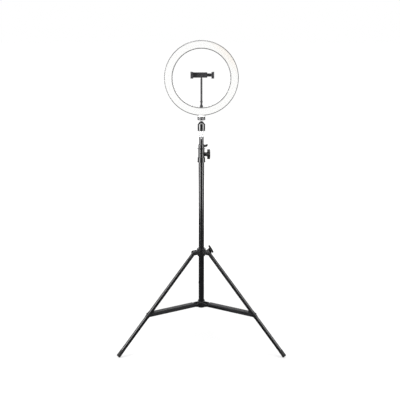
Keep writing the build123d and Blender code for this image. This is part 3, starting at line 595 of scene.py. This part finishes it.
def knurled_nut(radius, bore, foot, top):
    """Ring nut whose middle band is cut with straight grooves."""
    steps = 4 * knurl_count
    nut = lathe(
        (bore, foot),
        (radius - nut_edge, foot),
        (radius, foot + nut_edge),
        (radius, foot + knurl_margin),
        (radius, foot + knurl_margin + 0.2 * mm),
        (radius, top - knurl_margin - 0.2 * mm),
        (radius, top - knurl_margin),
        (radius, top - nut_edge),
        (radius - nut_edge, top),
        (bore, top),
        segments=steps,
    )
    low = foot + knurl_margin + 0.1 * mm
    high = top - knurl_margin - 0.1 * mm
    for vert in nut.verts:
        reach = Vector((vert.co.x, vert.co.y)).length
        if low < vert.co.z < high and reach > radius - 0.05 * mm:
            around = atan2(vert.co.y, vert.co.x)
            cut = knurl_depth * (0.5 - 0.5 * cos(knurl_count * around))
            vert.co.x *= 1 - cut / reach
            vert.co.y *= 1 - cut / reach
    return nut


stud_radius = 3.3 * mm
nut_radius, nut_foot, nut_top = size_up("neck_lock_collar")
jam_nut = knurled_nut(nut_radius, stud_radius, nut_foot, nut_top)
fit("knurled_jam_nut", jam_nut, anodised, "neck_lock_collar", "black_paint", "neck_lock_collar", crease=50)

head_edge = 0.3 * mm
ball_base = soften(cad_copy("ball_base"), head_edge, 2)
fit("head_base", ball_base, anodised, "top_tube", "black_paint", "ball_base")

sleeve_groove = 0.5 * mm
sleeve_groove_up = 3.2 * mm
shoulder_edge = 2 * mm
shoulder_drop = 1.5 * mm
socket_gap = 0.12 * mm
bore_drop = 4 * mm
sleeve_wall = 2.2 * mm
sleeve_radius, sleeve_foot, sleeve_top = size_up("ball_housing")
ball_radius = (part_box("ball")[1].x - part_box("ball")[0].x) / 2
ball_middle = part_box("ball")[0].z + ball_radius
shoulder = ball_middle - shoulder_drop
socket_radius = ball_radius + socket_gap
mouth_angle = 55
mouth_radius = socket_radius * sin(radians(mouth_angle))
socket_steps = 8
socket_curve = [
    mouth_angle + (90 - mouth_angle) * step / socket_steps for step in range(socket_steps + 1)
]
groove_z = sleeve_foot + sleeve_groove_up
head_sleeve = lathe(
    (sleeve_radius - sleeve_wall, sleeve_foot),
    (sleeve_radius - 0.3 * mm, sleeve_foot),
    (sleeve_radius, sleeve_foot + 0.3 * mm),
    (sleeve_radius, groove_z - sleeve_groove),
    (sleeve_radius - sleeve_groove, groove_z),
    (sleeve_radius, groove_z + sleeve_groove),
    (sleeve_radius, shoulder - shoulder_edge),
    (sleeve_radius - 0.12 * shoulder_edge, shoulder - 0.5 * shoulder_edge),
    (sleeve_radius - 0.45 * shoulder_edge, shoulder - 0.12 * shoulder_edge),
    (sleeve_radius - shoulder_edge, shoulder + 0.35 * shoulder_edge),
    (mouth_radius + 0.7 * mm, sleeve_top - 0.2 * mm),
    (mouth_radius + 0.3 * mm, sleeve_top),
    *[
        (socket_radius * sin(radians(angle)), ball_middle + socket_radius * cos(radians(angle)))
        for angle in socket_curve
    ],
    (sleeve_radius - sleeve_wall, ball_middle - bore_drop),
    segments=96,
)
fit("head_sleeve", head_sleeve, anodised, "ball_housing", "black_paint", "ball_housing")

ball = bmesh.new()
bmesh.ops.create_uvsphere(ball, u_segments=48, v_segments=24, radius=ball_radius)
bmesh.ops.translate(ball, verts=ball.verts, vec=(0, 0, ball_middle))
fit("plated_ball", ball, anodised, "ring_head", "black_paint", "ball")
stud = lathe(
    (0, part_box("neck_stud")[0].z),
    (size_up("neck_stud")[0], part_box("neck_stud")[0].z),
    (size_up("neck_stud")[0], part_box("neck_stud")[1].z),
    (0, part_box("neck_stud")[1].z),
    segments=32,
)
fit("neck_stud_rod", stud, plate_with_painted_sheen, "ring_head", "chrome", "neck_stud")

brass = finish("brass", (0.72, 0.53, 0.22), 0.3, metallic=1.0)
vary_roughness(brass, between(brass, cloudy(brass, 900, 2), 0.22, 0.4))
wear(brass, "neck_insert")


# ---------------------------------------------------------------- ring lamp
# Tray moulded in white ABS with the neck below it. The opal acrylic cover is snapped into
# its front and held by six screws from behind, and hides two rows of LEDs on a white board.
tray_edge = 0.3 * mm
cover_edge = 5 * mm
white_abs = finish("white_abs", (0.86, 0.86, 0.85), 0.28, coat=0.2)
vary_colour(white_abs, cloudy(white_abs, 14, 2), (0.85, 0.85, 0.84), (0.89, 0.89, 0.88))
vary_roughness(white_abs, between(white_abs, cloudy(white_abs, 220, 3), 0.22, 0.36))
relief(white_abs, cloudy(white_abs, 1400, 1), 0.000004)
tray = soften(cad_copy("ring_back_shell"), tray_edge, 2, 40)
fit("lamp_tray", tray, white_abs, "ring_head", "white_plastic", "ring_back_shell")

cover_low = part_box("ring_diffuser")[0]
ring_low, ring_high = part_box("ring_back_shell")
ring_radius = (ring_high.x - ring_low.x) / 2
ring_middle = Vector((0, 0, ring_high.z - ring_radius))
ring_width = 29 * mm
inner_radius = ring_radius - ring_width
cover_wall = 2 * mm
cover_depth = 6.5 * mm
cover_front = -cover_low.y
cover_back = cover_front - cover_depth


def quarter(centre_r, centre_z, radius, start, steps=8):
    """Points of a quarter round from one angle on, counter-clockwise."""
    return [
        (
            centre_r + radius * cos(radians(start + 90 * step / steps)),
            centre_z + radius * sin(radians(start + 90 * step / steps)),
        )
        for step in range(steps + 1)
    ]


cover = lathe(
    (ring_radius - cover_wall, cover_back),
    (ring_radius, cover_back),
    *quarter(ring_radius - cover_edge, cover_front - cover_edge, cover_edge, 0),
    *quarter(inner_radius + cover_edge, cover_front - cover_edge, cover_edge, 90),
    (inner_radius, cover_back),
    (inner_radius + cover_wall, cover_back),
    (inner_radius + cover_wall, cover_front - cover_edge),
    (inner_radius + cover_edge, cover_front - cover_wall),
    (ring_radius - cover_edge, cover_front - cover_wall),
    (ring_radius - cover_wall, cover_front - cover_edge),
    segments=192,
)
upright = Matrix.Translation(ring_middle) @ Matrix.Rotation(pi / 2, 4, "X")
bmesh.ops.transform(cover, matrix=upright, verts=cover.verts)

# Towards both rims of the cover the glow fades and the base colour turns grey: a painted shade that stands in
# for its unlit side walls.
rim_start, rim_end = 0.06, 0.15     # of the ring's width, where the light falls off
painted_rim_shade, lit_white = (0.14, 0.14, 0.14), (0.27, 0.27, 0.265)
cool_light, warm_light = (0.66, 0.66, 0.655, 1), (0.63, 0.58, 0.52, 1)
opal = finish("opal", lit_white, 0.35, coat=0.3)
opal_shader = opal.node_tree.nodes["Principled BSDF"]
ring_place = own_place(opal, (1, 0.001, 1), ring_middle)
reach = add(opal, "VectorMath", operation="LENGTH")
join(opal, ring_place, reach.inputs[0])
across = between(opal, reach.outputs["Value"], 0, 1, inner_radius, ring_radius)
glow_and_painted_rim_shade = add(opal, "ValToRGB")
glow_and_painted_rim_shade.color_ramp.interpolation = "EASE"
join(opal, across, glow_and_painted_rim_shade.inputs["Fac"])
glow_and_painted_rim_shade.color_ramp.elements[0].position = rim_start
glow_and_painted_rim_shade.color_ramp.elements[1].position = 1 - rim_start
glow_and_painted_rim_shade.color_ramp.elements[1].color = (0, 0, 0, 1)
glow_and_painted_rim_shade.color_ramp.elements.new(rim_end).color = (1, 1, 1, 1)
glow_and_painted_rim_shade.color_ramp.elements.new(1 - rim_end).color = (1, 1, 1, 1)
# Painted shade: the base colour goes grey towards the inner and outer rims.
vary_colour(opal, glow_and_painted_rim_shade.outputs["Color"], painted_rim_shade, lit_white)
towards_upper_right = add(opal, "VectorMath", operation="DOT_PRODUCT")
towards_upper_right.inputs[1].default_value = (0.75, 0, 0.66)
join(opal, ring_place, towards_upper_right.inputs[0])
warmth = between(opal, towards_upper_right.outputs["Value"], 0, 1, 0.75 * ring_radius, ring_radius)
tint = add(opal, "Mix", data_type="RGBA")
tint_colours = [socket for socket in tint.inputs if socket.type == "RGBA"]
tint_colours[0].default_value = cool_light
tint_colours[1].default_value = warm_light
join(opal, warmth, tint.inputs[0])
tinted = [socket for socket in tint.outputs if socket.type == "RGBA"][0]
join(opal, tinted, opal_shader.inputs["Emission Color"])
join(opal, glow_and_painted_rim_shade.outputs["Color"], opal_shader.inputs["Emission Strength"])
vary_roughness(opal, between(opal, cloudy(opal, 300, 3), 0.3, 0.42))
relief(opal, cloudy(opal, 1800, 2), 0.00002)
fit("opal_cover", cover, opal, "ring_head", "opal_diffuser", "ring_diffuser")

board_white = finish("board_white", (0.85, 0.85, 0.82), 0.4)
vary_colour(board_white, cloudy(board_white, 200, 2), (0.8, 0.8, 0.77), (0.88, 0.88, 0.85))
wear(board_white, "led_board")
phosphor = finish("phosphor", (0.93, 0.78, 0.25), 0.35)
vary_colour(phosphor, cloudy(phosphor, 2500, 1), (0.93, 0.76, 0.2), (0.96, 0.86, 0.4))
wear(phosphor, "leds")
tray_screw_edge = 0.12 * mm
tray_screws = soften(cad_copy("ring_screws"), tray_screw_edge, 2)
fit("tray_screws", tray_screws, screw_zinc, "ring_head", "screw_steel", "ring_screws")
inlet_edge = 0.2 * mm
inlet = soften(cad_copy("power_inlet"), inlet_edge, 2)
fit("inlet_socket", inlet, black_moulding, "ring_head", "inlet_plastic", "power_inlet")


# ---------------------------------------------------------------- phone holder's stem
# Turned steel stem screwed into the ring's inner edge and locked by a conical nut, with a
# ball on its top. A moulded cup snaps on the ball and a ring nut squeezes it.
stem_black = finish("stem_black", (0.02, 0.02, 0.021), 0.3, metallic=0.3, coat=0.3)
vary_colour(stem_black, cloudy(stem_black, 400, 3), (0.014, 0.014, 0.015), (0.03, 0.03, 0.031))
vary_roughness(stem_black, between(stem_black, cloudy(stem_black, 1500, 2, (1, 1, 5)), 0.22, 0.42))
stem = soften(cad_copy("holder_stem"), 0.35 * mm, 2)
fit("turned_stem", stem, stem_black, "ring_head", "black_paint", "holder_stem")
lock_nut = soften(cad_copy("holder_lock_nut"), 0.4 * mm, 2)
fit("conical_nut", lock_nut, stem_black, "ring_head", "black_paint", "holder_lock_nut")
cup = soften(cad_copy("clip_socket"), 0.3 * mm, 2)
clip_moulding = moulding("clip_moulding", (0.03, 0.03, 0.032), (0.045, 0.045, 0.048), 0.42, 0.00005)
fit("ball_cup", cup, clip_moulding, "clip_socket", "clip_plastic", "clip_socket")
squeeze_nut = soften(cad_copy("clip_collar_nut"), 0.4 * mm, 2)
fit("squeeze_nut", squeeze_nut, clip_moulding, "clip_collar_nut", "clip_plastic", "clip_collar_nut")


# ---------------------------------------------------------------- phone clip
# Two moulded jaws in dark grey plastic: one is part of the rail, the other's tongue slides
# in it. Each jaw has a soft rubber pad glued on its inner face.
clip_edge = 0.7 * mm
rail = soften(cad_copy("clip_body"), clip_edge, 3)
fit("clip_rail", rail, clip_moulding, "clip_body", "clip_plastic", "clip_body")
moving_jaw = soften(cad_copy("sliding_jaw"), clip_edge, 3)
fit("clip_moving_jaw", moving_jaw, clip_moulding, "sliding_jaw", "clip_plastic", "sliding_jaw")
for pad, body in (("fixed_jaw_pad", "clip_body"), ("sliding_jaw_pad", "sliding_jaw")):
    grip = soften(cad_copy(pad), 0.3 * mm, 2)
    fit(pad + "_rubber", grip, foot_rubber, body, "foot_rubber", pad)


# ---------------------------------------------------------------- floor, lights and camera
# A pale studio sweep, a tall softbox on each side of the camera and a large one overhead.
# A long lens stands a little above the lamp and is tipped down.
floor_size = 40.0
floor_mesh = bmesh.new()
bmesh.ops.create_grid(floor_mesh, x_segments=1, y_segments=1, size=floor_size)
floor_data = bpy.data.meshes.new("floor")
floor_mesh.to_mesh(floor_data)
floor_mesh.free()
floor = bpy.data.objects.new("floor", floor_data)
bpy.context.scene.collection.objects.link(floor)
floor_finish = finish("floor_finish", (0.3, 0.3, 0.3), 0.9, specular=0.0)
floor_shader = floor_finish.node_tree.nodes["Principled BSDF"]
floor_shader.inputs["Emission Color"].default_value = (1, 1, 1, 1)
from_stand = add(floor_finish, "VectorMath", operation="LENGTH")
join(floor_finish, own_place(floor_finish), from_stand.inputs[0])
sweep_light = between(floor_finish, from_stand.outputs["Value"], 0.62, 1.0, 0.45, 1.6)
join(floor_finish, sweep_light, floor_shader.inputs["Emission Strength"])
floor_data.materials.append(floor_finish)
floor.visible_glossy = False
floor.visible_diffuse = False


def softbox(name, place, aim, width, height, power):
    """Rectangular area light turned to a point."""
    lamp = bpy.data.lights.new(name, "AREA")
    lamp.shape = "RECTANGLE"
    lamp.size = width
    lamp.size_y = height
    lamp.energy = power
    light = bpy.data.objects.new(name, lamp)
    light.location = place
    light.rotation_euler = (Vector(aim) - Vector(place)).to_track_quat("-Z", "Y").to_euler()
    light.visible_camera = False
    bpy.context.scene.collection.objects.link(light)


softbox("left_softbox", (-0.97, -0.6, 0.85), (0, 0, 0.8), 0.75, 1.3, 21)
softbox("right_softbox", (0.97, -0.6, 0.85), (0, 0, 0.8), 0.75, 1.3, 14)
softbox("top_softbox", (0, 0.3, 3.2), (0, 0, 0), 3.0, 3.0, 90)
softbox("back_softbox", (0, 2.6, 1.4), (0, 0, 0.6), 4.0, 2.0, 40)

world = bpy.data.worlds.new("studio")
bpy.context.scene.world = world
world.use_nodes = True
sky = world.node_tree.nodes["Background"]
sky.inputs["Color"].default_value = (1, 1, 1, 1)
path = world.node_tree.nodes.new("ShaderNodeLightPath")
strength = world.node_tree.nodes.new("ShaderNodeMapRange")
strength.inputs["To Min"].default_value = 0.06
strength.inputs["To Max"].default_value = 1.0
world.node_tree.links.new(path.outputs["Is Camera Ray"], strength.inputs["Value"])
world.node_tree.links.new(strength.outputs["Result"], sky.inputs["Strength"])
bpy.context.scene.view_settings.view_transform = "Standard"

camera_data = bpy.data.cameras.new("camera")
camera_data.sensor_width = 36.0
camera_data.lens = 63.8
camera_data.clip_end = 200
camera = bpy.data.objects.new("camera", camera_data)
camera.location = (-0.005, -2.506, 1.166)
camera.rotation_euler = (radians(90 - 14), 0, 0)
bpy.context.scene.collection.objects.link(camera)
bpy.context.scene.camera = camera
